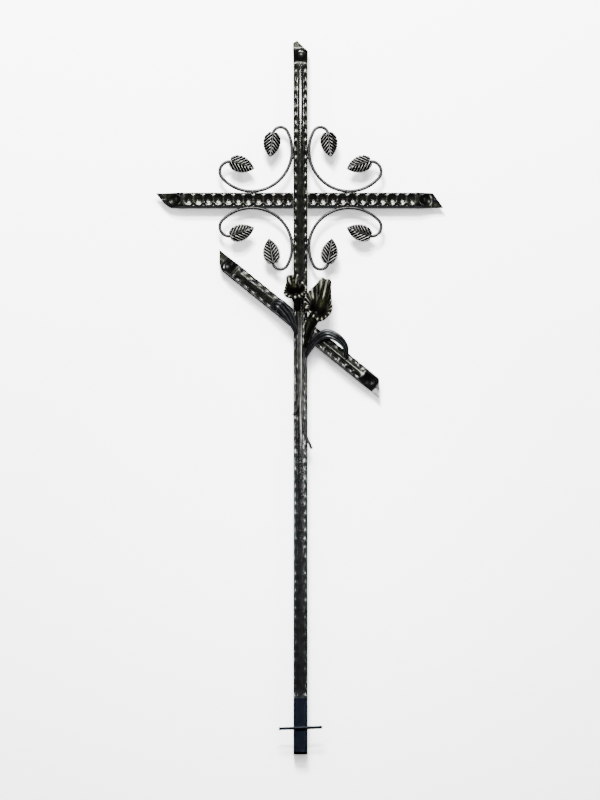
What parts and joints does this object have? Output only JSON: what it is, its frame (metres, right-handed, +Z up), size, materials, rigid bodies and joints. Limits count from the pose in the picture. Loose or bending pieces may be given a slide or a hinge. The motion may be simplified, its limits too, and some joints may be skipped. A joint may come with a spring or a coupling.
{
  "type": "wrought iron grave cross",
  "caption": "Tall hammered-tube grave cross with a crossbar, a slanted lower bar, leafed scrolls round the crossing and calla lilies on long stems.",
  "frame": {"origin": "middle of the post's lower end, which is set in the ground", "axes": "+Z up the post, +X to the right of someone facing the flowers, -Y to the front"},
  "size_m": [0.8229, 0.0918, 2.089],
  "materials": {
    "hammered_tube": "hammered steel tube under glossy black lacquer, bright where the dents catch the light",
    "round_rod": "round steel rod under glossy black lacquer with silver rubbed on its ridges",
    "stamped_leaf": "stamped steel leaf, black in the hollows with silver-grey rubbed on veins and edge",
    "flower_sheet": "forged sheet petal, black with a faint green-gold tint and silver-grey ribs",
    "long_leaf_sheet": "forged sheet leaf, blue-black with silver-grey rubbed along its ribs"
  },
  "bodies": {
    "root": {"post": "hammered_tube", "crossbar_left": "hammered_tube", "crossbar_right": "hammered_tube", "slanted_bar_upper": "hammered_tube", "slanted_bar_lower": "hammered_tube", "scroll_upper_left": "round_rod", "leaf_upper_left_inner": "stamped_leaf", "leaf_upper_left_outer": "stamped_leaf", "scroll_upper_right": "round_rod", "leaf_upper_right_inner": "stamped_leaf", "leaf_upper_right_outer": "stamped_leaf", "scroll_lower_left": "round_rod", "leaf_lower_left_inner": "stamped_leaf", "leaf_lower_left_outer": "stamped_leaf", "scroll_lower_right": "round_rod", "leaf_lower_right_inner": "stamped_leaf", "leaf_lower_right_outer": "stamped_leaf", "flower_left": "flower_sheet", "stem_left": "round_rod", "long_leaf_left": "long_leaf_sheet", "flower_right": "flower_sheet", "stem_right": "round_rod", "long_leaf_right": "long_leaf_sheet", "anchor_rod": "round_rod"}
  },
  "joints": []
}
